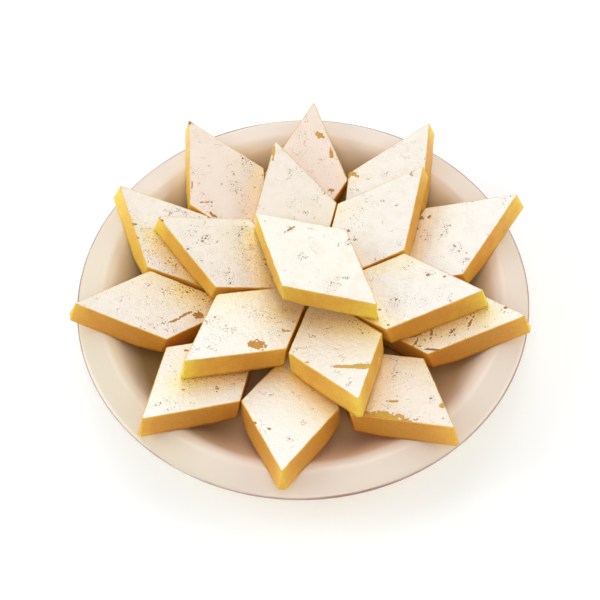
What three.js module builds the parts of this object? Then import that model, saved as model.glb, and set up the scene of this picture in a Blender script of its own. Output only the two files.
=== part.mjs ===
// A shallow glazed bowl with a sunburst of diamond-cut cashew barfi in it.
// Millimetres, +Z up. The bowl is turned on its axis. Each barfi is a flat diamond slab that lies
// on what is below it: ten in an outer ring, from the floor of the bowl over its rim, six in an
// inner ring on those, and one on top. The foot of the bowl stands round the origin.
import * as THREE from 'three';
import { mergeVertices } from 'three/addons/utils/BufferGeometryUtils.js';

// Bowl: radii, and heights above the table
const rimRadius = 95;
const wellRadius = 81;
const floorRadius = 52;
const wellDepth = 17.3;
const wallCurve = 2.2;
const shoulder = 4;
const floorThickness = 4;
const wallThickness = 3.6;
const rimThickness = 3.2;
const rimCrown = 0.5;
const rimDrop = 2.4;
const footHeight = 3;
const footOuterRadius = 50;
const footInnerRadius = 45;
const footRounding = 0.8;
const backFlare = 1.8;
const turnSegments = 80;
const wallSteps = 5;
const shoulderSteps = 4;
const flangeSteps = 3;
const backSteps = 6;
const lipSteps = 4;

// Barfi: one slab's usual measures, and the space left where two pieces touch
const slabThickness = 9.8;
const edgeRounding = 0.5;
const tipRadius = 0.6;
const cornerRadius = 1;
const wornRadius = 7;
const backCorner = 2;
const cornerSteps = 3;
const sideSteps = 3;
const sideBow = 0.35;
const restGap = 0.3;

// How finely a slab's rest is worked out
const latticeSteps = 44;
const sectionSteps = 26;
const layRounds = 4;
const steepest = 0.8;
const balance = 4;

// Seeded draws for the bowing of the cut sides
const firstSeed = 101;
const drawFactor = 16807;
const drawModulus = 2147483647;

// Where the middle of each slab lies: its bearing round the bowl and its reach from the axis.
// heading is the way its sharp corner points. Angles are in degrees, counted from +X towards +Y.
// left and right are the lengths of its sides, and point is the angle of the sharp corner.
// A worn slab has lost the tip of its inner corner.
const outerRing = [
  { bearing: 17.5, reach: 63.5, heading: 23.5, left: 40.5, right: 43, point: 54 },
  { bearing: 51.8, reach: 60.5, heading: 53.5, left: 42.5, right: 41, point: 53 },
  { bearing: 86.5, reach: 57.5, heading: 82, left: 40.5, right: 40.5, point: 54 },
  { bearing: 120.5, reach: 61.5, heading: 119.5, left: 40.5, right: 40, point: 56 },
  { bearing: 154.5, reach: 58, heading: 136.5, left: 40.5, right: 40.5, point: 55.5 },
  { bearing: 187, reach: 60.2, heading: 189.5, left: 40.5, right: 38, point: 52.5 },
  { bearing: 225, reach: 58, heading: 228.5, left: 41, right: 40.5, point: 58.5 },
  { bearing: 263.5, reach: 56.5, heading: 263.5, left: 41, right: 41.5, point: 57 },
  { bearing: 303, reach: 59.5, heading: 312, left: 40.5, right: 42.5, point: 57 },
  { bearing: 342.5, reach: 57, heading: 346, left: 42, right: 42.5, point: 55 },
];
const innerRing = [
  { bearing: 40, reach: 39, heading: 45.5, left: 40.5, right: 40, point: 56 },
  { bearing: 93.3, reach: 35, heading: 103, left: 38.5, right: 39, point: 57.5 },
  { bearing: 151.5, reach: 32.5, heading: 157, left: 40, right: 40, point: 56, worn: true },
  { bearing: 221.5, reach: 28.5, heading: 222.5, left: 42.5, right: 40.5, point: 57.5, worn: true },
  { bearing: 291.5, reach: 34, heading: 282.7, left: 38.5, right: 40, point: 59.5, worn: true },
  { bearing: 348, reach: 39, heading: 346.2, left: 41.5, right: 42.5, point: 55.3, worn: true },
];
const topSlab = { bearing: 39, reach: 7, heading: 314.5, left: 40, right: 40, point: 58 };

const glaze = { color: 0xeadfcd, roughness: 0.22, metalness: 0 };
const barfi = { color: 0xf1e3c8, roughness: 0.5, metalness: 0.1 };

const radians = THREE.MathUtils.degToRad;
const floorHeight = footHeight + floorThickness;
const wellHeight = floorHeight + wellDepth;

// Height of the curved wall of the well, and of the crowned rim, at a distance from the axis.
function wallHeight(radius) {
  const up = Math.max(0, radius - floorRadius) / (wellRadius - floorRadius);
  return floorHeight + wellDepth * up ** wallCurve;
}

function flangeHeight(radius) {
  const out = (radius - wellRadius) / (rimRadius - wellRadius);
  return wellHeight + rimCrown * Math.sin(Math.PI * Math.min(1, 2 * out)) - rimDrop * out ** 2;
}

// Height of the inside of the bowl, where a shoulder rounds the wall over into the rim.
function bowlHeight(radius) {
  const wallEnd = wellRadius - shoulder;
  const flangeStart = wellRadius + shoulder;
  if (radius <= wallEnd) return wallHeight(radius);
  if (radius >= flangeStart) return flangeHeight(radius);
  const over = (radius - wallEnd) / (flangeStart - wallEnd);
  const rising = THREE.MathUtils.lerp(wallHeight(wallEnd), wellHeight, over);
  const levelling = THREE.MathUtils.lerp(wellHeight, flangeHeight(flangeStart), over);
  return THREE.MathUtils.lerp(rising, levelling, over);
}

// Points of the section along the inside, from one radius to the next in even steps.
function insidePoints(from, to, steps) {
  const points = [];
  for (let i = 1; i <= steps; i += 1) {
    const radius = THREE.MathUtils.lerp(from, to, i / steps);
    points.push(new THREE.Vector2(radius, bowlHeight(radius)));
  }
  return points;
}

// The half section of the bowl, from the axis along the inside, round the lip and back below.
function bowlSection() {
  const lipRadius = rimThickness / 2;
  const lipStart = rimRadius - lipRadius;
  const section = [
    new THREE.Vector2(0, floorHeight),
    new THREE.Vector2(floorRadius, floorHeight),
    ...insidePoints(floorRadius, wellRadius - shoulder, wallSteps),
    ...insidePoints(wellRadius - shoulder, wellRadius + shoulder, shoulderSteps),
    ...insidePoints(wellRadius + shoulder, lipStart, flangeSteps),
  ];
  const lipHeight = bowlHeight(lipStart) - lipRadius;
  for (let i = 1; i <= lipSteps; i += 1) {
    const turn = Math.PI / 2 - (Math.PI * i) / lipSteps;
    const radius = lipStart + lipRadius * Math.cos(turn);
    section.push(new THREE.Vector2(radius, lipHeight + lipRadius * Math.sin(turn)));
  }
  for (let i = backSteps; i > 0; i -= 1) {
    const radius = THREE.MathUtils.lerp(floorRadius, wellRadius, i / backSteps);
    const height = Math.min(bowlHeight(radius) - wallThickness, lipHeight - lipRadius);
    section.push(new THREE.Vector2(radius + (backFlare * i) / backSteps, height));
  }
  section.push(new THREE.Vector2(footOuterRadius, footRounding));
  section.push(new THREE.Vector2(footOuterRadius - footRounding, 0));
  section.push(new THREE.Vector2(footInnerRadius + footRounding, 0));
  section.push(new THREE.Vector2(footInnerRadius, footRounding));
  section.push(new THREE.Vector2(footInnerRadius - footRounding, footHeight));
  section.push(new THREE.Vector2(0, footHeight));
  return section.reverse();
}

function bowlGeometry() {
  const geometry = new THREE.LatheGeometry(bowlSection(), turnSegments);
  geometry.rotateX(Math.PI / 2);
  return geometry;
}

// Draws between -1 and 1, one stream for each slab, so that every cut side bows its own way.
function drawsFrom(seed) {
  let state = seed;
  return () => {
    state = (state * drawFactor) % drawModulus;
    return (2 * state) / drawModulus - 1;
  };
}

// The corners of a diamond about its middle, in order: front, left, back, right.
function diamondCorners({ left, right, point }) {
  const half = radians(point / 2);
  const toFrontLeft = new THREE.Vector2(Math.cos(half), Math.sin(half)).multiplyScalar(right / 2);
  const toFrontRight = new THREE.Vector2(Math.cos(half), -Math.sin(half)).multiplyScalar(left / 2);
  const front = toFrontLeft.clone().add(toFrontRight);
  const leftCorner = toFrontLeft.clone().sub(toFrontRight);
  return [front, leftCorner, front.clone().negate(), leftCorner.clone().negate()];
}

// The arc that rounds one corner of a diamond: its ends, its centre and the angle it turns.
function cornerArc(slab, corners, index) {
  const corner = corners[index];
  const inWard = corner.clone().sub(corners[(index + 3) % 4]).normalize();
  const outWard = corners[(index + 1) % 4].clone().sub(corner).normalize();
  const turn = Math.acos(inWard.dot(outWard));
  const eased = index % 2 === 0 ? tipRadius : cornerRadius;
  const radius = index === backCorner && slab.worn ? wornRadius : eased;
  const setBack = radius * Math.tan(turn / 2);
  const start = corner.clone().addScaledVector(inWard, -setBack);
  const end = corner.clone().addScaledVector(outWard, setBack);
  const centre = start.clone().addScaledVector(new THREE.Vector2(-inWard.y, inWard.x), radius);
  return { start, end, centre, turn };
}

// The outline of a slab: short arcs at the corners, and sides that bow in or out by a hair.
function slabOutline(slab, draw) {
  const corners = diamondCorners(slab);
  const arcs = corners.map((corner, index) => cornerArc(slab, corners, index));
  const outline = [];
  arcs.forEach(({ start, end, centre, turn }, index) => {
    for (let i = 0; i <= cornerSteps; i += 1) {
      outline.push(start.clone().rotateAround(centre, (turn * i) / cornerSteps));
    }
    const nextStart = arcs[(index + 1) % 4].start;
    const run = nextStart.clone().sub(end).normalize();
    const sideNormal = new THREE.Vector2(run.y, -run.x);
    const bow = sideBow * draw();
    for (let i = 1; i <= sideSteps; i += 1) {
      const along = i / (sideSteps + 1);
      const place = end.clone().lerp(nextStart, along);
      outline.push(place.addScaledVector(sideNormal, bow * Math.sin(Math.PI * along)));
    }
  });
  return outline;
}

// A slab with its top face at height zero, its long diagonal along X and all its edges eased.
function slabGeometry(slab, draw) {
  const shape = new THREE.Shape(slabOutline(slab, draw));
  const geometry = new THREE.ExtrudeGeometry(shape, {
    depth: slabThickness - 2 * edgeRounding,
    bevelEnabled: true,
    bevelThickness: edgeRounding,
    bevelSize: edgeRounding,
    bevelOffset: -edgeRounding,
    bevelSegments: 1,
    curveSegments: 1,
  });
  geometry.translate(0, 0, edgeRounding - slabThickness);
  geometry.deleteAttribute('uv');
  geometry.deleteAttribute('normal');
  return mergeVertices(geometry);
}

// Where a slab lies: the middle of its top face, the directions of its two sides and its normal,
// for a face with the given slopes along X and Y.
function slabPose(slab, height, slopeX, slopeY) {
  const bearing = radians(slab.bearing);
  const heading = radians(slab.heading);
  const east = slab.reach * Math.cos(bearing);
  const north = slab.reach * Math.sin(bearing);
  const middle = new THREE.Vector3(east, north, height);
  const normal = new THREE.Vector3(-slopeX, -slopeY, 1).normalize();
  const plan = new THREE.Vector2(Math.cos(heading), Math.sin(heading));
  const forward = new THREE.Vector3(plan.x, plan.y, slopeX * plan.x + slopeY * plan.y).normalize();
  const sideways = new THREE.Vector3().crossVectors(normal, forward);
  return { slab, middle, forward, sideways, normal };
}

// A point of a laid slab, from its place on the slab and its depth below the top face.
function pointOf(pose, along, across, depth) {
  return pose.middle.clone()
    .addScaledVector(pose.forward, along)
    .addScaledVector(pose.sideways, across)
    .addScaledVector(pose.normal, -depth);
}

// Height of a laid slab's top face above a place in plan, or nothing beside the slab.
function topHeight(pose, x, y) {
  const { middle, forward, sideways, normal, slab } = pose;
  const height = middle.z - (normal.x * (x - middle.x) + normal.y * (y - middle.y)) / normal.z;
  const place = new THREE.Vector3(x, y, height).sub(middle);
  const along = place.dot(forward);
  const across = place.dot(sideways);
  const half = radians(slab.point / 2);
  const leftWard = (along / Math.cos(half) + across / Math.sin(half)) / slab.right;
  const rightWard = (along / Math.cos(half) - across / Math.sin(half)) / slab.left;
  return Math.max(Math.abs(leftWard), Math.abs(rightWard)) <= 1 ? height : -Infinity;
}

// The lowest value of a convex function of one number, by golden section.
function lowest(rise, low, high) {
  const golden = (Math.sqrt(5) - 1) / 2;
  let from = low;
  let to = high;
  for (let i = 0; i < sectionSteps; i += 1) {
    const reach = golden * (to - from);
    if (rise(to - reach) < rise(from + reach)) {
      to = from + reach;
    } else {
      from = to - reach;
    }
  }
  return (from + to) / 2;
}

// A rigid slab comes to rest where its middle is lowest, on three points round that middle, or
// level across two where it can balance. Its underside is tried on a lattice of points, against
// the bowl and the slabs below it.
function layDown(slab, below) {
  let pose = slabPose(slab, 0, 0, 0);
  for (let round = 0; round < layRounds; round += 1) {
    const centre = pointOf(pose, 0, 0, slabThickness / 2);
    const under = [];
    const [front, leftCorner] = diamondCorners(slab);
    const stepOne = front.clone().add(leftCorner).divideScalar(latticeSteps);
    const stepTwo = front.clone().sub(leftCorner).divideScalar(latticeSteps);
    for (let i = 0; i <= latticeSteps; i += 1) {
      for (let j = 0; j <= latticeSteps; j += 1) {
        const p = i - latticeSteps / 2;
        const q = j - latticeSteps / 2;
        const along = p * stepOne.x + q * stepTwo.x;
        const across = p * stepOne.y + q * stepTwo.y;
        const { x, y } = pointOf(pose, along, across, slabThickness);
        const radius = Math.hypot(x, y);
        const tops = below.map((other) => topHeight(other, x, y));
        const height = Math.max(bowlHeight(radius), ...tops);
        if (radius < rimRadius) under.push({ x: x - centre.x, y: y - centre.y, height });
      }
    }
    const heightFor = (a, b) => Math.max(0, ...under.map((p) => p.height - a * p.x - b * p.y));
    const costFor = (a, b) => heightFor(a, b) + balance * (a * a + b * b);
    const bestB = (a) => lowest((b) => costFor(a, b), -steepest, steepest);
    const slopeX = lowest((a) => costFor(a, bestB(a)), -steepest, steepest);
    const slopeY = bestB(slopeX);
    const rise = heightFor(slopeX, slopeY);
    pose = slabPose(slab, 0, slopeX, slopeY);
    const foot = pointOf(pose, 0, 0, slabThickness);
    const lift = rise + slopeX * (foot.x - centre.x) + slopeY * (foot.y - centre.y) - foot.z;
    pose.middle.z = lift + restGap;
  }
  return pose;
}

function slabMesh(name, pose, seed) {
  const geometry = slabGeometry(pose.slab, drawsFrom(seed));
  const mesh = new THREE.Mesh(geometry, new THREE.MeshStandardMaterial(barfi));
  const turn = new THREE.Matrix4().makeBasis(pose.forward, pose.sideways, pose.normal);
  mesh.name = name;
  mesh.quaternion.setFromRotationMatrix(turn);
  mesh.position.copy(pose.middle);
  return mesh;
}

const bowl = new THREE.Mesh(bowlGeometry(), new THREE.MeshStandardMaterial(glaze));
bowl.name = 'bowl';

const outerPoses = outerRing.map((slab) => layDown(slab, []));
const innerPoses = innerRing.map((slab) => layDown(slab, outerPoses));
const topPose = layDown(topSlab, [...outerPoses, ...innerPoses]);

const sweets = new THREE.Group();
outerPoses.forEach((pose, index) => {
  sweets.add(slabMesh(`barfi_outer_${index + 1}`, pose, firstSeed + index));
});
innerPoses.forEach((pose, index) => {
  sweets.add(slabMesh(`barfi_inner_${index + 1}`, pose, 2 * firstSeed + index));
});
sweets.add(slabMesh('barfi_top', topPose, 3 * firstSeed));

const filledBowl = new THREE.Group();
filledBowl.add(bowl, sweets);

export default filledBowl;
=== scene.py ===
import math

import bmesh
import bpy
from mathutils import Matrix, Quaternion, Vector, bvhtree, noise


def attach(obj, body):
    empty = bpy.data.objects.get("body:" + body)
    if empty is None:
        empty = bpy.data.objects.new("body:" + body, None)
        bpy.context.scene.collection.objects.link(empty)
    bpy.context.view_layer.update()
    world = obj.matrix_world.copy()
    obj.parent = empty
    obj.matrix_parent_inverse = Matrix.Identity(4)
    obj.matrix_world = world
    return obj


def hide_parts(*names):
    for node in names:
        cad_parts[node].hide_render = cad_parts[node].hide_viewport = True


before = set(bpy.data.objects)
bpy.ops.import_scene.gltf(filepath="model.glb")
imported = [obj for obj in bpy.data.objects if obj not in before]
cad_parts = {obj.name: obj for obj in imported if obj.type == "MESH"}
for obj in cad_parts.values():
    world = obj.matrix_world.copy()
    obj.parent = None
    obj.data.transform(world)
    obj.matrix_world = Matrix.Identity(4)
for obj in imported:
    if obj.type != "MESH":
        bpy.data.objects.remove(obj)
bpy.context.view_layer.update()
mm = 0.001  # the scene is in metres, the sizes below are written in millimetres
print("frame loaded:", len(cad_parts), "pieces")


def addNode(tree, kind, inputs=None, **settings):
    # makes a shader node, sets its options, and fills or links its sockets
    made = tree.nodes.new(kind)
    for name, value in settings.items():
        setattr(made, name, value)
    for socket, value in (inputs or {}).items():
        if isinstance(value, bpy.types.NodeSocket):
            tree.links.new(value, made.inputs[socket])
        else:
            made.inputs[socket].default_value = value
    return made


def newMaterial(name):
    made = bpy.data.materials.new(name)
    made.use_nodes = True
    made.node_tree.nodes.clear()
    place = addNode(made.node_tree, "ShaderNodeTexCoord").outputs["Object"]
    return made, made.node_tree, place


def finishSurface(tree, inputs):
    shader = addNode(tree, "ShaderNodeBsdfPrincipled", inputs)
    addNode(tree, "ShaderNodeOutputMaterial", {"Surface": shader.outputs["BSDF"]})


def mixColours(tree, factor, first, second):
    # a colour mix has its factor at socket 0, its colours at 6 and 7, and its result at 2
    mixed = addNode(tree, "ShaderNodeMix", data_type="RGBA")
    for socket, value in zip((mixed.inputs[0], mixed.inputs[6], mixed.inputs[7]), (factor, first, second)):
        if isinstance(value, bpy.types.NodeSocket):
            tree.links.new(value, socket)
        else:
            socket.default_value = value
    return mixed.outputs[2]


def mapRange(tree, value, low, high, toLow=0.0, toHigh=1.0):
    ranged = addNode(tree, "ShaderNodeMapRange", {0: value, 1: low, 2: high, 3: toLow, 4: toHigh})
    return ranged.outputs[0]


def maths(tree, operation, first, second=0.0):
    return addNode(tree, "ShaderNodeMath", {0: first, 1: second}, operation=operation).outputs[0]


def scaleVector(tree, vector, factor):
    return addNode(tree, "ShaderNodeVectorMath", {0: vector, "Scale": factor}, operation="SCALE").outputs[0]


def readAttribute(tree, name):
    return addNode(tree, "ShaderNodeAttribute", attribute_name=name).outputs["Fac"]


def noiseOn(tree, place, scale, detail=3.0, rough=0.5, output="Fac"):
    inputs = {"Vector": place, "Scale": scale, "Detail": detail, "Roughness": rough}
    return addNode(tree, "ShaderNodeTexNoise", inputs).outputs[output]


def showPiece(shape, name, materials, node):
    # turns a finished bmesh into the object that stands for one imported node
    mesh = bpy.data.meshes.new(name)
    shape.to_mesh(mesh)
    shape.free()
    for material in materials:
        mesh.materials.append(material)
    piece = bpy.data.objects.new(name, mesh)
    bpy.context.scene.collection.objects.link(piece)
    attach(piece, "root")
    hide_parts(node)
    return piece


# camera: where the photograph was taken from
cameraLook = {
    "stand": (0.0, -316.2, 497.8),  # mm
    "lookAt": (-1.13, -3.53, 21.17),  # mm
    "roll": -2.26,  # degrees
    "lens": 81.65,
    "sensor": 36.0,
    "nearest": 10.0,  # mm, nothing closer is drawn
}

cameraData = bpy.data.cameras.new("photoCamera")
cameraData.lens = cameraLook["lens"]
cameraData.sensor_width = cameraLook["sensor"]
cameraData.clip_start = cameraLook["nearest"] * mm
camera = bpy.data.objects.new("photoCamera", cameraData)
bpy.context.scene.collection.objects.link(camera)
stand = Vector(cameraLook["stand"]) * mm
sight = Vector(cameraLook["lookAt"]) * mm - stand
rolled = Quaternion((0, 0, 1), math.radians(cameraLook["roll"]))
camera.location = stand
camera.rotation_mode = "QUATERNION"
camera.rotation_quaternion = sight.to_track_quat("-Z", "Y") @ rolled
bpy.context.scene.camera = camera
print("camera placed")

# light: a cool even room, soft lamps above, behind and at both sides, and a warm one in front
lightLook = {
    "room": (0.70, 0.77, 1.0, 1.0),
    "roomStrength": 0.42,
    "lampSize": 0.8,  # metres, as are the places; power is in watts
    "lamps": {
        "above": {"place": (0.0, 0.0, 1.1), "power": 1.0, "colour": (1.0, 0.82, 0.74)},
        "behindHigh": {"place": (0.0, 0.6, 0.95), "power": 2.0, "colour": (1.0, 1.0, 0.94)},
        "behindLow": {"place": (0.0, 1.05, 0.45), "power": 1.6, "colour": (1.0, 0.97, 0.90)},
        "behindRight": {"place": (0.7, 0.7, 0.5), "power": 0.7, "colour": (1.0, 0.87, 0.70)},
        "behindLeft": {"place": (-0.7, 0.7, 0.5), "power": 0.75, "colour": (1.0, 0.87, 0.95)},
        "right": {"place": (1.0, 0.0, 0.55), "power": 4.1, "colour": (1.0, 1.0, 0.84)},
        "left": {"place": (-1.0, 0.0, 0.55), "power": 5.6, "colour": (0.95, 1.0, 0.98)},
        "inFront": {"place": (0.0, -0.75, 0.85), "power": 3.1, "colour": (1.0, 0.86, 0.55)},
    },
}

world = bpy.data.worlds.new("room")
world.use_nodes = True
background = world.node_tree.nodes["Background"]
background.inputs["Color"].default_value = lightLook["room"]
background.inputs["Strength"].default_value = lightLook["roomStrength"]
bpy.context.scene.world = world
for lampName, lamp in lightLook["lamps"].items():
    lampData = bpy.data.lights.new(lampName, "AREA")
    lampData.shape = "DISK"
    lampData.size = lightLook["lampSize"]
    lampData.energy = lamp["power"]
    lampData.color = lamp["colour"]
    lampObject = bpy.data.objects.new(lampName, lampData)
    lampObject.location = lamp["place"]
    lampObject.rotation_euler = (-lampObject.location).to_track_quat("-Z", "Y").to_euler()
    bpy.context.scene.collection.objects.link(lampObject)
bpy.context.scene.view_settings.view_transform = "Standard"
print("lights placed:", len(lightLook["lamps"]))

# floor
floorLook = {
    "halfSize": 1500.0,  # mm
    "squares": 4,  # along each side
    "colour": (0.95, 0.94, 0.93, 1.0),
    "mottle": (0.92, 0.91, 0.90, 1.0),
    "mottleScale": 9.0,
    "roughness": 0.8,
    "lit": (0.75, 0.92, 1.0, 1.0),  # it glows a little, as a page lit from behind
    "litStrength": 0.18,
}

floorMaterial, tree, place = newMaterial("paleFloor")
mottle = noiseOn(tree, place, floorLook["mottleScale"])
finishSurface(tree, {
    "Base Color": mixColours(tree, mottle, floorLook["colour"], floorLook["mottle"]),
    "Roughness": floorLook["roughness"],
    "Emission Color": floorLook["lit"],
    "Emission Strength": floorLook["litStrength"],
})
shape = bmesh.new()
squares = floorLook["squares"]
bmesh.ops.create_grid(shape, x_segments=squares, y_segments=squares, size=floorLook["halfSize"] * mm)
floorMesh = bpy.data.meshes.new("floor")
shape.to_mesh(floorMesh)
shape.free()
floorMesh.materials.append(floorMaterial)
floor = bpy.data.objects.new("floor", floorMesh)
bpy.context.scene.collection.objects.link(floor)
print("floor laid")

# bowl: cream glaze, darker rusty brown at the lip, and painted shade in the well: brown at the back, light
# brown at the front and dark olive on the left.
# Radii and reaches are in mm, colours are for the back of the bowl unless their name says otherwise.
bowlLook = {
    "weld": 0.01,
    "joinFlat": 40,  # degrees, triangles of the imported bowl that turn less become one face
    "joinSkew": 60,  # degrees, and how far from square that face may be
    "levels": 2,
    "wellRadius": 81.0,  # where the flat rim begins
    "lipRadius": 93.4,  # where the rusty lip begins
    "lipRadiusFront": 94.35,
    "lipFade": 0.5,
    "shadeFullRadius": 68.0,  # where the painted well shade is at its full strength
    "shadeFullRadiusFront": 79.5,
    "glaze": (0.84, 0.735, 0.62, 1.0),
    "leftShadedGlaze": (0.82, 0.73, 0.57, 1.0),
    "wellShade": (0.46, 0.325, 0.10, 1.0),
    "wellShadeFront": (0.95, 0.66, 0.45, 1.0),
    "wellShadeLeft": (0.38, 0.25, 0.08, 1.0),
    "leftWay": (-0.95, -0.3, 0.0),  # the side the painted olive shade lies on
    "leftReach": (45.0, 80.0),
    "lip": (0.38, 0.19, 0.12, 1.0),
    "waver": 0.6,  # how unevenly the colours run round the bowl
    "waverScale": 30.0,
    "roughness": 0.16,
    "peelScale": 140.0,  # the glaze's faint unevenness
    "peelDetail": 2.0,
    "peelStrength": 0.12,
    "peelDepth": 0.4,
}

glazeMaterial, tree, place = newMaterial("creamGlaze")
flat = addNode(tree, "ShaderNodeVectorMath", {0: place, 1: (1.0, 1.0, 0.0)}, operation="MULTIPLY").outputs[0]
radius = addNode(tree, "ShaderNodeVectorMath", {0: flat}, operation="LENGTH").outputs["Value"]
waver = bowlLook["waver"] * mm
uneven = mapRange(tree, noiseOn(tree, place, bowlLook["waverScale"]), 0.0, 1.0, -waver, waver)
wavered = maths(tree, "ADD", radius, uneven)
depthAway = addNode(tree, "ShaderNodeSeparateXYZ", {0: place}).outputs["Y"]
wellRadius = bowlLook["wellRadius"] * mm
# painted shade in the well: full inside these radii, fading out towards the flat rim
shadeFullFrom = mapRange(
    tree, depthAway, -wellRadius, 0.0, bowlLook["shadeFullRadiusFront"] * mm, bowlLook["shadeFullRadius"] * mm)
inWell = mapRange(tree, wavered, shadeFullFrom, wellRadius, 1.0, 0.0)
lipFrom = mapRange(
    tree, depthAway, -wellRadius, wellRadius, bowlLook["lipRadiusFront"] * mm, bowlLook["lipRadius"] * mm)
atLip = mapRange(tree, maths(tree, "SUBTRACT", wavered, lipFrom), 0.0, bowlLook["lipFade"] * mm)
leftward = addNode(tree, "ShaderNodeVectorMath", {0: place, 1: bowlLook["leftWay"]}, operation="DOT_PRODUCT")
toLeft = mapRange(
    tree, leftward.outputs["Value"], bowlLook["leftReach"][0] * mm, bowlLook["leftReach"][1] * mm)
toBack = mapRange(tree, depthAway, -wellRadius, 0.0)
# the painted shade colours: lighter towards the front, dark olive towards the left
wellShade = mixColours(tree, toBack, bowlLook["wellShadeFront"], bowlLook["wellShade"])
wellShade = mixColours(tree, toLeft, wellShade, bowlLook["wellShadeLeft"])
# the rim's cream glaze with a painted olive shade on the left
glazeWithLeftShade = mixColours(tree, toLeft, bowlLook["glaze"], bowlLook["leftShadedGlaze"])
# glaze on the rim, painted shade in the well
body = mixColours(tree, inWell, glazeWithLeftShade, wellShade)
orangePeel = addNode(tree, "ShaderNodeBump", {
    "Height": noiseOn(tree, place, bowlLook["peelScale"], bowlLook["peelDetail"]),
    "Strength": bowlLook["peelStrength"],
    "Distance": bowlLook["peelDepth"] * mm,
})
finishSurface(tree, {
    "Base Color": mixColours(tree, atLip, body, bowlLook["lip"]),
    "Roughness": bowlLook["roughness"],
    "Normal": orangePeel.outputs["Normal"],
})

shape = bmesh.new()
shape.from_mesh(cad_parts["bowl"].data)
bmesh.ops.remove_doubles(shape, verts=shape.verts, dist=bowlLook["weld"] * mm)
bmesh.ops.join_triangles(
    shape, faces=shape.faces, angle_face_threshold=math.radians(bowlLook["joinFlat"]),
    angle_shape_threshold=math.radians(bowlLook["joinSkew"]))
for face in shape.faces:
    face.smooth = True
bowl = showPiece(shape, "glazedBowl", [glazeMaterial], "bowl")
rounding = bowl.modifiers.new("rounding", "SUBSURF")
rounding.levels = rounding.render_levels = bowlLook["levels"]
print("bowl made")

# barfi: what all the slabs share, in mm
barfiLook = {
    "weld": 0.01,
    "sameFace": 6,  # degrees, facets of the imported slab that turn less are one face
    "upward": 0.5,  # the top's normal points up more than this
    "upright": 0.1,  # and a side's points along the top's less than this
    "steps": 120,  # grid squares along a side
    "rows": 8,  # rows down a cut side
    "edge": 0.35,  # radius of the top edge
    "edgeSegments": 2,
    "topBand": 0.9,  # of that radius: what lies higher belongs to the top
    "sideBand": 0.6,  # how far in from a side its waver and flare reach
    "sideWave": 0.12,
    "sideWaveSizes": (6, 1.6),  # of the long and of the short waves
    "sideInset": 0.6,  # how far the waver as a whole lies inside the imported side, in heights of a wave
    "leafWave": 0.05,
    "leafWaveSizes": (7, 1.7),
    "flareCurve": 1.5,
    "flareFrom": 10.0,  # less flare within this far of the blunt corners, where the slabs lie close
    "leafFacing": 0.94,  # a face that points up more than this is leafed
    "tipReach": 8.0,  # how far the painted glow of the points, a clear yellow, runs into the paste
    "bluntTip": 0.45,  # how strong that painted glow is at the blunt corners
    "bluntReach": 4.0,
    "edgeGlow": 0.8,  # painted highlight: how light the paste is painted along the top edge
    "patchDeep": 0.12,  # how deep a bare patch lies
    "patchFrom": 0.4,  # where its slope begins, as bareness
    "patchSlope": 4,
    "crumbCore": 1.6,  # crumbs in the middle of a cluster
    "crumbFade": 1.3,
    "speckWaver": 0.8,  # how unevenly crumbs and pinholes are strewn all over
    "speckSize": 8,
    "seedStep": 3.7,
    # a slab's own entry in slabLooks may change what follows
    "facing": None,  # the way the sharp front corner points, where that isn't outwards
    "cornerRadii": (0.6, 1.0, 0.6, 1.0),  # front, left, back and right corner
    "flare": 0.8,  # how far the foot of a cut side stands out
    "reflectionTint": 0.0,  # leaf, a painted reflection by how a slab faces the light: pink at -1, light at 1
    "clear": 0.0,  # paste, painted shade and glow by how a slab lies in the light: brown at -1, clear yellow at 1
    "tip": 1.0,  # the same, at the points
    "patchGlow": -0.4,  # how brown or clear yellow the paste is in the bare patches
    "specks": 0.1,  # crumbs and pinholes all over
    "pits": 0.5,  # crumbs and pinholes, a painted shade grain, where the leaf has the painted golden reflection
    "ragged": 0.9,  # how torn the outline of a bare patch is
    "bare": (),
    "golden": (),
    "crumbs": (),
}
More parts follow.
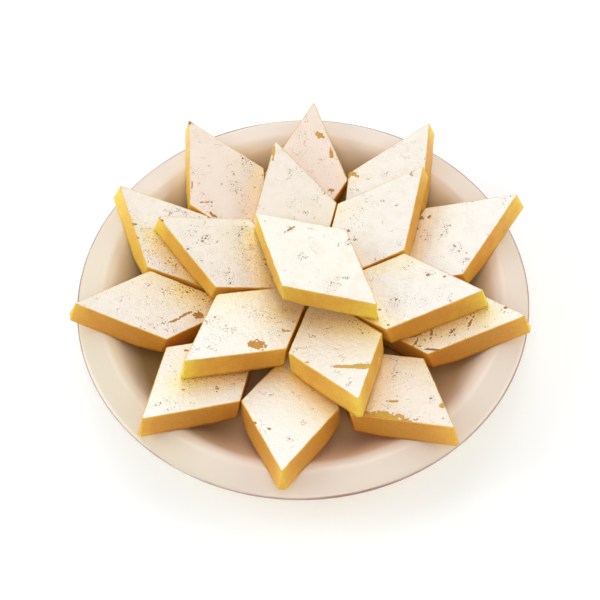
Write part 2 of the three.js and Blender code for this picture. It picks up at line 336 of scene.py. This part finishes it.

# each slab's own marks, in mm from its middle: along is towards its sharp outer corner, across is to the
# left of that. A bare patch is (along, across, half length, half width, turn), a spot of painted golden
# reflection and shade (along, across, radius, amount), and a cluster of crumbs (along, across, radius).
slabLooks = {
    "barfi_outer_1": {
        "reflectionTint": 0.4,
        "flare": 1.2,
        "bare": (
            (-2.5, 15.5, 1.1, 0.9, -35), (0.5, 14, 0.9, 0.7, -35), (-6.5, 12.5, 0.9, 0.7, -35),
            (2.5, -4.5, 0.6, 0.4, -35), (5, -11, 0.6, 0.4, -35), (3.5, -13.5, 0.6, 0.4, -35),
        ),
        "crumbs": ((2, -7, 4), (3, -14, 2.5), (-5, 7, 3.5)),
    },
    "barfi_outer_2": {
        "flare": 1.1,
        "patchGlow": 0.4,
        "bare": ((0, 16.5, 2.2, 1, 90), (-2, 18, 1.5, 1.2, 0)),
        "crumbs": ((6, 4, 2.5),),
    },
    "barfi_outer_3": {
        "reflectionTint": -0.9,
        "patchGlow": 0.15,
        "bare": (
            (20, -4, 2.4, 1.2, 70), (11.5, -10, 2.6, 0.8, 10), (18, -9.5, 5.3, 0.5, 25),
            (-5.5, -11.5, 1.1, 0.6, -85),
        ),
        "crumbs": ((-7, -11, 2.5), (8, -6, 2)),
    },
    "barfi_outer_4": {
        "reflectionTint": -0.7,
        "clear": 0.5,
        "bare": (
            (6.5, 14, 2.8, 0.3, -30), (-2.5, 11.5, 3.5, 0.3, 65),
            (-9, 12, 2, 0.7, 30), (34.5, 0, 1.4, 1.2, 0),
        ),
        "golden": ((-1, -14, 3.5, 0.5), (-7, -10, 3.5, 0.5)),
        "crumbs": ((-2, -3, 4), (7, -14, 4), (-4, 11, 2)),
    },
    "barfi_outer_5": {
        "specks": 0.3,
        "pits": 1,
        "reflectionTint": -0.2,
        "flare": 1.5,
        "clear": 0.45,
        "bare": ((17.5, 8, 1.5, 0.5, 50), (12.5, 12, 0.7, 0.5, 50)),
        "crumbs": ((8, 9, 4), (4, 17, 3.5), (-3, 11, 3)),
    },
    "barfi_outer_6": {
        "specks": 0.2,
        "pits": 1.1,
        "reflectionTint": -0.15,
        "flare": 1.7,
        "clear": -0.2,
        "tip": 0.5,
        "bare": ((-5.5, 8, 3, 0.5, 25), (-10.5, 5, 3.2, 0.55, 30), (-16.5, 5, 2.4, 1.5, 0)),
        "golden": ((-13, -9, 9, 0.9), (-17, 1, 6, 0.6)),
        "crumbs": ((-5, -7, 4), (-1, 8, 2.5), (16, -2, 2)),
    },
    "barfi_outer_7": {
        "specks": 0.1,
        "pits": 0.8,
        "reflectionTint": 1,
        "clear": -0.3,
        "tip": 0.45,
        "bare": ((1.5, 9, 0.7, 0.5, -40), (12, 0.5, 0.7, 0.5, -40), (-4.5, -13, 0.8, 0.6, -40)),
        "crumbs": ((2, 9, 2), (0, 1, 2.5)),
    },
    "barfi_outer_8": {
        "specks": -0.3,
        "pits": 0.15,
        "reflectionTint": 1,
        "flare": 1.3,
        "clear": -0.3,
        "tip": 0.5,
        "bare": ((11.5, -13, 0.7, 0.5, -85), (14, -7, 0.7, 0.5, -85)),
        "crumbs": ((16, -9, 1.5), (-9, 9, 2)),
    },
    "barfi_outer_9": {
        "specks": 0.1,
        "pits": 0.7,
        "reflectionTint": -0.2,
        "clear": -0.3,
        "tip": 0.55,
        "patchGlow": 0.35,
        "bare": ((9, -13.5, 11, 2.6, 31), (8, -4, 2.6, 0.5, 35), (25, 6, 1.5, 1.3, 35)),
        "crumbs": ((-2, 6, 4), (19, 5, 2.5)),
    },
    "barfi_outer_10": {
        "specks": 0.3,
        "pits": 1,
        "reflectionTint": 0.6,
        "flare": 1.4,
        "clear": -0.3,
        "tip": 0.6,
        "patchGlow": -0.9,
        "bare": (
            (-0.5, -9, 2.4, 0.55, -85), (15, -3.5, 3.3, 0.5, 75), (8, -8, 2, 0.5, 55),
            (28.5, 4, 1.1, 0.6, 55), (-6.5, -14, 2.1, 0.45, 65), (-7.5, -10.5, 2.7, 0.4, 20),
            (1, -17, 3.6, 0.5, -5),
        ),
        "crumbs": ((8, -8, 4.5), (-5, -13, 4.5), (28, 3, 2.5)),
    },
    "barfi_inner_1": {
        "bare": ((-7, 6.5, 1.4, 0.4, 90),),
        "crumbs": ((-8, 7, 2), (28, 7, 2.5)),
    },
    "barfi_inner_2": {
        "specks": 0,
        "pits": 0.5,
        "reflectionTint": -0.1,
        "patchGlow": 0.5,
        "bare": ((28.5, 2, 3.2, 0.5, -20),),
        "crumbs": ((9, -14, 3), (19, -3, 1.5)),
    },
    "barfi_inner_3": {
        "specks": 0.25,
        "pits": 1,
        "reflectionTint": -0.2,
        "cornerRadii": (0.6, 1.0, 7.0, 1.0),
        "clear": 0.1,
        "bare": ((34, 2, 1.9, 1.7, 30),),
        "golden": ((-8, -12, 5, 0.8), (-15, -4, 6, 0.9), (-19, 4, 6, 0.9)),
        "crumbs": ((1, -11, 4.5), (-3, 12, 4), (13, 0, 3.5)),
    },
    "barfi_inner_4": {
        "specks": 0.25,
        "pits": 0.9,
        "reflectionTint": 0.6,
        "cornerRadii": (0.6, 1.0, 7.0, 3.0),
        "clear": -0.1,
        "tip": 1.2,
        "patchGlow": 0.0,
        "bare": ((7, 11, 3.3, 2.5, -50), (-8, 12.5, 1.9, 0.6, -35)),
        "crumbs": ((11, -9, 3.5), (11, -3, 2.5), (-6, 11, 2)),
    },
    "barfi_inner_5": {
        "specks": -0.2,
        "pits": 0.9,
        "reflectionTint": 0.5,
        "cornerRadii": (0.6, 1.0, 7.0, 1.0),
        "clear": 0.1,
        "ragged": 0.3,
        "patchGlow": 0.45,
        "bare": (
            (14.8, 1, 6.5, 0.9, 70), (16.6, 6, 4.5, 1.5, 72), (7, -13.5, 1.2, 0.5, 70),
            (-4.5, 16, 8.5, 0.4, 30),
        ),
        "crumbs": ((-3, 13, 3.5),),
    },
    "barfi_inner_6": {
        "reflectionTint": 0.3,
        "cornerRadii": (0.6, 1.0, 7.0, 1.0),
        "clear": -0.15,
        "tip": 1.2,
        "bare": (
            (12.5, 8, 0.8, 0.6, 0), (19.5, 7, 0.8, 0.6, 0), (-5, -9.5, 0.6, 0.4, 0), (0, -17, 0.6, 0.4, 0),
        ),
        "crumbs": ((1, -5, 4), (2, 12, 2.5), (13, 9, 2.5)),
    },
    "barfi_top": {
        "specks": -0.05,
        "pits": 0.5,
        "facing": (1.0, -1.0),
        "clear": 0.25,
        "tip": 1.2,
        "bare": ((-17.5, 3.5, 2.4, 0.4, 80),),
        "crumbs": ((-18, 4, 2), (5, 16, 2.5), (14, -6, 4), (-5, -3, 2.5)),
    },
}


# the golden paste. In this and the next dictionary a noise is (scale, detail, roughness), and a range is
# (from low, from high, to low, to high), which goes to 0 and 1 where the last two are left out.
pasteLook = {
    "deep": (0.74, 0.335, 0.045, 1.0),
    # the clear yellow that paints light shining through the thin points
    "yellow": (0.98, 0.70, 0.09, 1.0),
    "cloud": (160.0, 2.0),
    "cloudRange": (0.3, 0.7, -0.12, 0.12),
    "fleck": (900.0, 4.0),
    "fleckRange": (0.35, 0.7, 0.95, 1.05),
    "shadeRange": (-1.0, 0.0, 0.5, 1.0),  # painted shade: how the paste darkens where its glow is below 0
    "crumb": (700.0, 4.0, 0.6),
    "crumbStrength": 0.35,
    "crumbDepth": 0.3,  # mm
    "roughness": 0.48,
    "specular": 0.3,
    "soft": 0.35,  # how much light goes through it
    "softRadius": (1.0, 0.55, 0.12),
    "softScale": 4.0,  # mm
}


def pasteColour(tree, place):
    # painted glow: clear yellow towards the ends of a cut side (glow 1); painted shade: browner in the slabs
    # that lie low in the shade (glow below 0)
    glowAndShade = readAttribute(tree, "glowAndShade")
    cloud = mapRange(tree, noiseOn(tree, place, *pasteLook["cloud"]), *pasteLook["cloudRange"])
    colour = mixColours(tree, maths(tree, "ADD", glowAndShade, cloud), pasteLook["deep"], pasteLook["yellow"])
    fleck = mapRange(tree, noiseOn(tree, place, *pasteLook["fleck"]), *pasteLook["fleckRange"])
    fleckedAndShaded = maths(tree, "MULTIPLY", fleck, mapRange(tree, glowAndShade, *pasteLook["shadeRange"]))
    return scaleVector(tree, colour, fleckedAndShaded)


pasteMaterial, tree, place = newMaterial("cashewPaste")
crumbly = addNode(tree, "ShaderNodeBump", {
    "Height": noiseOn(tree, place, *pasteLook["crumb"]),
    "Strength": pasteLook["crumbStrength"],
    "Distance": pasteLook["crumbDepth"] * mm,
})
finishSurface(tree, {
    "Base Color": pasteColour(tree, place),
    "Roughness": pasteLook["roughness"],
    "Specular IOR Level": pasteLook["specular"],
    "Subsurface Weight": pasteLook["soft"],
    "Subsurface Radius": pasteLook["softRadius"],
    "Subsurface Scale": pasteLook["softScale"] * mm,
    "Normal": crumbly.outputs["Normal"],
})

# the silver leaf, warm in this light, with the paste showing where it is torn
leafLook = {
    "plain": (0.97, 0.91, 0.79, 1.0),
    "grey": (0.92, 0.85, 0.70, 1.0),
    "mottle": (260.0, 5.0, 0.6),
    "mottleRange": (0.45, 0.75),
    "light": (1.0, 0.985, 0.90, 1.0),  # painted reflection, where a slab's tint is 1
    "pink": (0.95, 0.80, 0.66, 1.0),  # painted pink reflection, where it is -1
    "gold": (1.0, 0.83, 0.30, 1.0),  # painted golden reflection and shade, right beside a higher slab
    "reflectionGrain": (1300.0, 3.0),
    "reflectionGrainRange": (0.35, 0.65, 0.45, 1.3),
    "speck": (0.26, 0.13, 0.045, 1.0),
    "marked": 0.95,  # how fully a mark covers the leaf
    "pinhole": (2300.0, 2.0),
    "pinholeRange": (0.57, 0.66, 0.0, 0.85),
    "crumbScale": 750.0,
    "crumbSize": 0.47,
    "bend": (1500.0, 1.0),  # what makes the crumbs uneven
    "bendBy": 0.7,  # mm
    "ridge": (170.0, 3.0, 0.6),
    "ridgeAt": 0.5,
    "ridgeWidth": 0.006,
    "creased": (190.0, 1.0),  # creases run only where this noise is above the next value
    "creasedFrom": 0.62,
    "tatter": (1500.0, 4.0, 0.6),
    "tatterRange": (0.2, 0.8, -0.25, 0.25),
    "bareRange": (0.47, 0.53),
    "tornAt": 0.55,  # the dark torn edge round a bare patch
    "tornRange": (0.0, 0.1, 0.85, 0.0),
    "patchRange": (0.4, 0.8, 1.0, 0.8),  # the paste is a little darker in a patch
    "wrinkle": (420.0, 6.0, 0.65),
    "fine": (2200.0, 3.0, 0.6),
    "fineShare": 0.6,
    "wrinkleStrength": 0.75,
    "wrinkleDepth": 0.4,  # mm
    "metalRange": (0.0, 1.0, 0.85, 0.0),  # from leaf to bare paste and marks
    "roughRange": (0.0, 1.0, 0.38, 0.5),
}

leafMaterial, tree, place = newMaterial("silverLeaf")
tatter = mapRange(tree, noiseOn(tree, place, *leafLook["tatter"]), *leafLook["tatterRange"])
bare = mapRange(tree, maths(tree, "ADD", readAttribute(tree, "bare"), tatter), *leafLook["bareRange"])
patch = readAttribute(tree, "patch")
lifted = maths(tree, "SUBTRACT", maths(tree, "ADD", patch, tatter), leafLook["tornAt"])
torn = mapRange(tree, maths(tree, "ABSOLUTE", lifted), *leafLook["tornRange"])
# mottled leaf, with a painted reflection lighter or pinker by slab, and the painted golden reflection and
# shade beside a higher slab
mottle = mapRange(tree, noiseOn(tree, place, *leafLook["mottle"]), *leafLook["mottleRange"])
leafColour = mixColours(tree, mottle, leafLook["plain"], leafLook["grey"])
# painted reflection: each slab's leaf lighter or pinker by how it faces the light
reflectionTint = readAttribute(tree, "reflectionTint")
leafColour = mixColours(tree, reflectionTint, leafColour, leafLook["light"])
leafColour = mixColours(tree, maths(tree, "MULTIPLY", reflectionTint, -1.0), leafColour, leafLook["pink"])
# the painted golden reflection and shade of a higher slab, broken into a grain
reflectionGrain = mapRange(tree, noiseOn(tree, place, *leafLook["reflectionGrain"]), *leafLook["reflectionGrainRange"])
reflectedGold = maths(tree, "MULTIPLY", readAttribute(tree, "goldReflectionShade"), reflectionGrain)
leafColour = mixColours(tree, reflectedGold, leafColour, leafLook["gold"])
# its marks: pinholes, crumbs in clusters and short creases
# the specks attribute holds crumbs and pinholes and a painted shade grain
specksAndShadeGrain = readAttribute(tree, "specks")
pinhole = mapRange(tree, noiseOn(tree, place, *leafLook["pinhole"]), *leafLook["pinholeRange"])
pitted = maths(tree, "MULTIPLY", pinhole, specksAndShadeGrain)
bend = scaleVector(tree, noiseOn(tree, place, *leafLook["bend"], output="Color"), leafLook["bendBy"] * mm)
bent = addNode(tree, "ShaderNodeVectorMath", {0: place, 1: bend}, operation="ADD").outputs[0]
cells = addNode(tree, "ShaderNodeTexVoronoi", {"Vector": bent, "Scale": leafLook["crumbScale"]})
largest = maths(tree, "MULTIPLY", specksAndShadeGrain, leafLook["crumbSize"])
crumbSize = maths(tree, "MULTIPLY", cells.outputs["Color"], largest)
crumb = maths(tree, "LESS_THAN", cells.outputs["Distance"], crumbSize)
ridge = maths(tree, "SUBTRACT", noiseOn(tree, place, *leafLook["ridge"]), leafLook["ridgeAt"])
onRidge = maths(tree, "LESS_THAN", maths(tree, "ABSOLUTE", ridge), leafLook["ridgeWidth"])
creased = maths(tree, "GREATER_THAN", noiseOn(tree, place, *leafLook["creased"]), leafLook["creasedFrom"])
crease = maths(tree, "MULTIPLY", onRidge, creased)
marked = maths(tree, "MAXIMUM", pitted, maths(tree, "MAXIMUM", crumb, crease))
leafColour = mixColours(
    tree, maths(tree, "MULTIPLY", marked, leafLook["marked"]), leafColour, leafLook["speck"])
# and the paste in its bare patches
paste = scaleVector(tree, pasteColour(tree, place), mapRange(tree, patch, *leafLook["patchRange"]))
surface = mixColours(tree, bare, leafColour, paste)
surface = mixColours(tree, torn, surface, leafLook["speck"])
fine = maths(tree, "MULTIPLY", noiseOn(tree, place, *leafLook["fine"]), leafLook["fineShare"])
crinkle = addNode(tree, "ShaderNodeBump", {
    "Height": maths(tree, "ADD", noiseOn(tree, place, *leafLook["wrinkle"]), fine),
    "Strength": leafLook["wrinkleStrength"],
    "Distance": leafLook["wrinkleDepth"] * mm,
})
finishSurface(tree, {
    "Base Color": surface,
    "Metallic": mapRange(tree, maths(tree, "MAXIMUM", bare, marked), *leafLook["metalRange"]),
    "Roughness": mapRange(tree, bare, *leafLook["roughRange"]),
    "Normal": crinkle.outputs["Normal"],
})
print("paste and leaf mixed")


def clamp(value):
    return max(0.0, min(1.0, value))


def measureSlab(nodeName, facing):
    # finds a packed slab's middle, its upward normal, its top corners in the order front, left, back and
    # right, and its thickness
    copied = bmesh.new()
    copied.from_mesh(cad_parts[nodeName].data)
    bmesh.ops.remove_doubles(copied, verts=copied.verts, dist=barfiLook["weld"] * mm)
    sameFace = math.radians(barfiLook["sameFace"])
    bmesh.ops.dissolve_limit(copied, angle_limit=sameFace, verts=copied.verts, edges=copied.edges)
    upward = [f for f in copied.faces if f.normal.z > barfiLook["upward"]]
    top = max(upward, key=lambda f: f.calc_area())
    normal = top.normal.copy()
    level = top.calc_center_median().dot(normal)
    upright = [f for f in copied.faces if abs(f.normal.dot(normal)) < barfiLook["upright"]]
    sides = []
    for face in sorted(upright, key=lambda f: -f.calc_area())[:4]:
        outward = (face.normal - normal * face.normal.dot(normal)).normalized()
        reach = sum(v.co.dot(outward) for v in face.verts) / len(face.verts)
        sides.append((outward, reach))
    thickness = level - min(v.co.dot(normal) for v in copied.verts)
    copied.free()
    east = sides[0][0]
    north = normal.cross(east)
    sides.sort(key=lambda side: math.atan2(side[0].dot(north), side[0].dot(east)))
    corners = []
    for i in range(4):
        (first, firstReach), (second, secondReach) = sides[i - 1], sides[i]
        meeting = Matrix((first, second, normal)).inverted() @ Vector((firstReach, secondReach, level))
        corners.append((meeting, first.dot(second)))
    middle = sum((c[0] for c in corners), Vector()) / 4
    facing = Vector((*facing, 0)) if facing else Vector((middle.x, middle.y, 0))
    sharp = [i for i in range(4) if corners[i][1] < 0]
    front = max(sharp, key=lambda i: (corners[i][0] - middle).dot(facing))
    ordered = [corners[(front + k) % 4][0] for k in range(4)]
    return middle, normal, ordered, thickness


def roundCorners(point, corners, radii, tiny=1e-9, sameAngle=1e-4):
    # draws the part of a diamond beyond each corner's arc back inside that arc
    for i, radius in enumerate(radii):
        corner = corners[i]
        toBefore = (corners[i - 1] - corner).normalized()
        toAfter = (corners[(i + 1) % 4] - corner).normalized()
        half = toBefore.angle(toAfter) / 2
        centre = corner + (toBefore + toAfter).normalized() * (radius / math.sin(half))
        offset = point - centre
        if offset.length < tiny:
            continue
        spokes = [corner + side * (radius / math.tan(half)) - centre for side in (toBefore, toAfter)]
        angles = [abs(offset.angle(spoke)) for spoke in spokes]
        if abs(sum(angles) - spokes[0].angle(spokes[1])) < sameAngle:
            point = centre + offset * math.cos(min(angles))
    return point


# the golden light that a higher slab throws on the leaf beside it
goldLook = {
    "above": 0.8,  # mm, what stands higher than this over a slab's top colours it
    "onPlane": 0.001,  # mm, a corner this close to that height lies at it
    "reach": 7.0,  # mm, how far it carries
    "farthest": 5,  # in reaches
    "amount": 1.2,
    "allRound": 0.35,  # its share on every side
    "from": (0.3, 0.95),  # the side a higher slab has to stand on to throw the most
}


def higherSlabs(nodeName, middle, normal):
    # the parts of the other slabs that stand above this one's top
    others = bmesh.new()
    for otherName in slabLooks:
        if otherName != nodeName:
            others.from_mesh(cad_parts[otherName].data)
    bmesh.ops.bisect_plane(
        others, geom=others.verts[:] + others.edges[:] + others.faces[:], dist=goldLook["onPlane"] * mm,
        plane_co=middle + normal * goldLook["above"] * mm, plane_no=normal, clear_inner=True)
    raised = bvhtree.BVHTree.FromBMesh(others)
    others.free()
    return raised


def goldReflectionShadeAt(place, raised):
    # most right in front of a higher slab, fading with distance and round to its other sides
    reach = goldLook["reach"] * mm
    nearest, _, _, gap = raised.find_nearest(place, goldLook["farthest"] * reach)
    if nearest is None:
        return 0.0
    towards = (nearest - place).xy.normalized().dot(Vector(goldLook["from"]))
    facing = goldLook["allRound"] + (1 - goldLook["allRound"]) * towards
    return goldLook["amount"] * max(0.0, facing) * math.exp(-gap / reach)


def wave(place, size, seed):
    return noise.noise(Vector((place[0] / size, place[1] / size, place[2] / size + seed)))


def waves(place, sizes, seed, shortShare=0.5):
    # long waves with short, lower ones on them
    return wave(place, sizes[0], seed) + shortShare * wave(place, sizes[1], seed)


# how far the leaf is worn through; sizes are in mm
wearLook = {
    "ends": 0.5,  # bareness where the leaf ends
    "core": 1.5,  # in the middle of a bare patch
    "raggedSize": 1.1,
    "edge": 0.6,  # along the top edges
    "edgeReach": 0.9,
    "edgeWaver": 0.35,
    "edgeWaverSize": 2.6,
    "edgeSeed": 7,
}


def bareness(flat, edgeGap, look, seed):
    # of a place on the leaf: in the patches, and along the edge
    place = (*flat, 0)
    ragged = look["ragged"] * wave(place, wearLook["raggedSize"], seed)
    field = 0.0
    for along, across, halfLength, halfWidth, turn in look["bare"]:
        cos = math.cos(math.radians(turn))
        sin = math.sin(math.radians(turn))
        dx, dy = flat.x - along, flat.y - across
        u = (dx * cos + dy * sin) / halfLength
        v = (dy * cos - dx * sin) / halfWidth
        field = max(field, wearLook["core"] - math.hypot(u, v) + ragged)
    waver = wearLook["edgeWaver"] * wave(place, wearLook["edgeWaverSize"], seed + wearLook["edgeSeed"])
    return clamp(field), clamp(wearLook["edge"] - edgeGap / wearLook["edgeReach"] + waver)


def blankSlab(corners, depth):
    # a diamond plate with a fine grid on top, rows of faces down its sides and a rounded top edge
    front, left, back, right = corners
    steps = barfiLook["steps"]
    shape = bmesh.new()
    bmesh.ops.create_grid(shape, x_segments=steps, y_segments=steps, size=1.0)
    for vert in shape.verts:
        p, q = (vert.co.x + 1) / 2, (vert.co.y + 1) / 2
        nearSide = back.lerp(right, p)
        farSide = left.lerp(front, p)
        vert.co = Vector((*nearSide.lerp(farSide, q), 0))
    if sum(f.normal.z for f in shape.faces) < 0:
        bmesh.ops.reverse_faces(shape, faces=shape.faces)
    rim = [e for e in shape.edges if e.is_boundary]
    topRim = list(rim)
    for _ in range(barfiLook["rows"]):
        made = bmesh.ops.extrude_edge_only(shape, edges=rim)["geom"]
        rim = [e for e in made if isinstance(e, bmesh.types.BMEdge) and e.is_boundary]
        lowered = [v for v in made if isinstance(v, bmesh.types.BMVert)]
        bmesh.ops.translate(shape, verts=lowered, vec=(0, 0, -depth / barfiLook["rows"]))
    bmesh.ops.contextual_create(shape, geom=rim)
    bmesh.ops.bevel(
        shape, geom=topRim, offset=barfiLook["edge"], affect="EDGES", segments=barfiLook["edgeSegments"],
        profile=0.5, material=-1)
    bmesh.ops.recalc_face_normals(shape, faces=shape.faces)
    return shape


def makeSlab(nodeName, ownLook, seed):
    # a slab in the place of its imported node: waves and wear as moved vertices, looks as attributes
    look = {**barfiLook, **ownLook}
    middle, normal, corners, thickness = measureSlab(nodeName, look["facing"])
    forward = (corners[0] - corners[2]).normalized()
    toWorld = Matrix((forward, normal.cross(forward), normal)).transposed().to_4x4()
    toWorld.translation = middle
    toSlab = toWorld.inverted()
    depth = thickness / mm
    flatCorners = [(toSlab @ corner).xy / mm for corner in corners]
    front, left, back, right = flatCorners
    sideLines = []
    for i in range(4):
        start, end = flatCorners[i - 1], flatCorners[i]
        run = (end - start).normalized()
        sideLines.append((start, Vector((run.y, -run.x))))
    raised = higherSlabs(nodeName, middle, normal)

    shape = blankSlab(flatCorners, depth)
    layerNames = ("glowAndShade", "bare", "patch", "specks", "goldReflectionShade", "reflectionTint")
    layers = {name: shape.verts.layers.float.new(name) for name in layerNames}
    for vert in shape.verts:
        flat = vert.co.xy
        gaps = [abs((flat - start).dot(outward)) for start, outward in sideLines]
        gap = min(gaps)
        tipGap = min((flat - front).length, (flat - back).length)
        bluntGap = min((flat - left).length, (flat - right).length)
        bluntEnd = look["bluntTip"] * math.exp(-bluntGap / look["bluntReach"])
        atEnds = max(math.exp(-tipGap / look["tipReach"]), bluntEnd)
        # painted glow of light through the thin points, and each slab's painted shade or glow elsewhere
        glowAndShade = atEnds * look["tip"] + look["clear"] * (1 - atEnds)
        flat = roundCorners(flat, flatCorners, look["cornerRadii"])
        place = (flat.x, flat.y, vert.co.z)
        if gap < look["sideBand"]:
            outward = sideLines[gaps.index(gap)][1]
            uneven = look["sideWave"] * (waves(place, look["sideWaveSizes"], seed) - look["sideInset"])
            flared = look["flare"] * clamp(-place[2] / depth) ** look["flareCurve"]
            flared *= min(1.0, bluntGap / look["flareFrom"])
            flat = flat + outward * (uneven + flared)
        lift = 0.0
        if vert.co.z > -look["topBand"] * look["edge"]:
            patch, edge = bareness(flat, gap, look, seed)
            # painted highlight along the top edge, then the paste's own colour in a bare patch
            glowAndShade = max(glowAndShade, look["edgeGlow"] - gap)
            glowAndShade += (look["patchGlow"] - glowAndShade) * min(1.0, patch / wearLook["ends"])
            # painted golden reflection and shade from the higher slabs nearby, and in the listed spots
            goldReflectionShade = goldReflectionShadeAt(toWorld @ (Vector(place) * mm), raised)
            for along, across, radius, amount in look["golden"]:
                away = (flat - Vector((along, across))).length / radius
                goldReflectionShade = max(goldReflectionShade, amount * math.exp(-away ** 2))
            specks = look["specks"] + look["speckWaver"] * wave(place, look["speckSize"], seed)
            for along, across, radius in look["crumbs"]:
                away = (flat - Vector((along, across))).length / radius
                specks = max(specks, look["crumbCore"] - look["crumbFade"] * away)
            vert[layers["patch"]] = patch
            vert[layers["bare"]] = max(patch, edge)
            vert[layers["goldReflectionShade"]] = goldReflectionShade
            # crumbs and pinholes, with a painted shade grain where the painted golden reflection lies
            vert[layers["specks"]] = clamp(max(specks, look["pits"] * goldReflectionShade))
            # this slab's painted reflection tint
            vert[layers["reflectionTint"]] = look["reflectionTint"]
            lift = look["leafWave"] * waves(place, look["leafWaveSizes"], seed)
            lift -= look["patchDeep"] * clamp((patch - look["patchFrom"]) * look["patchSlope"])
        vert[layers["glowAndShade"]] = glowAndShade
        vert.co = Vector((flat.x, flat.y, vert.co.z + lift))
    for face in shape.faces:
        leafed = face.normal.z > look["leafFacing"]
        face.smooth = not leafed
        face.material_index = int(leafed)
    bmesh.ops.transform(shape, matrix=toWorld @ Matrix.Scale(mm, 4), verts=shape.verts)
    name = nodeName.replace("barfi", "leafedBarfi")
    return showPiece(shape, name, [pasteMaterial, leafMaterial], nodeName)


for index, (nodeName, ownLook) in enumerate(slabLooks.items()):
    makeSlab(nodeName, ownLook, barfiLook["seedStep"] * (index + 1))
print("slabs made:", len(slabLooks))
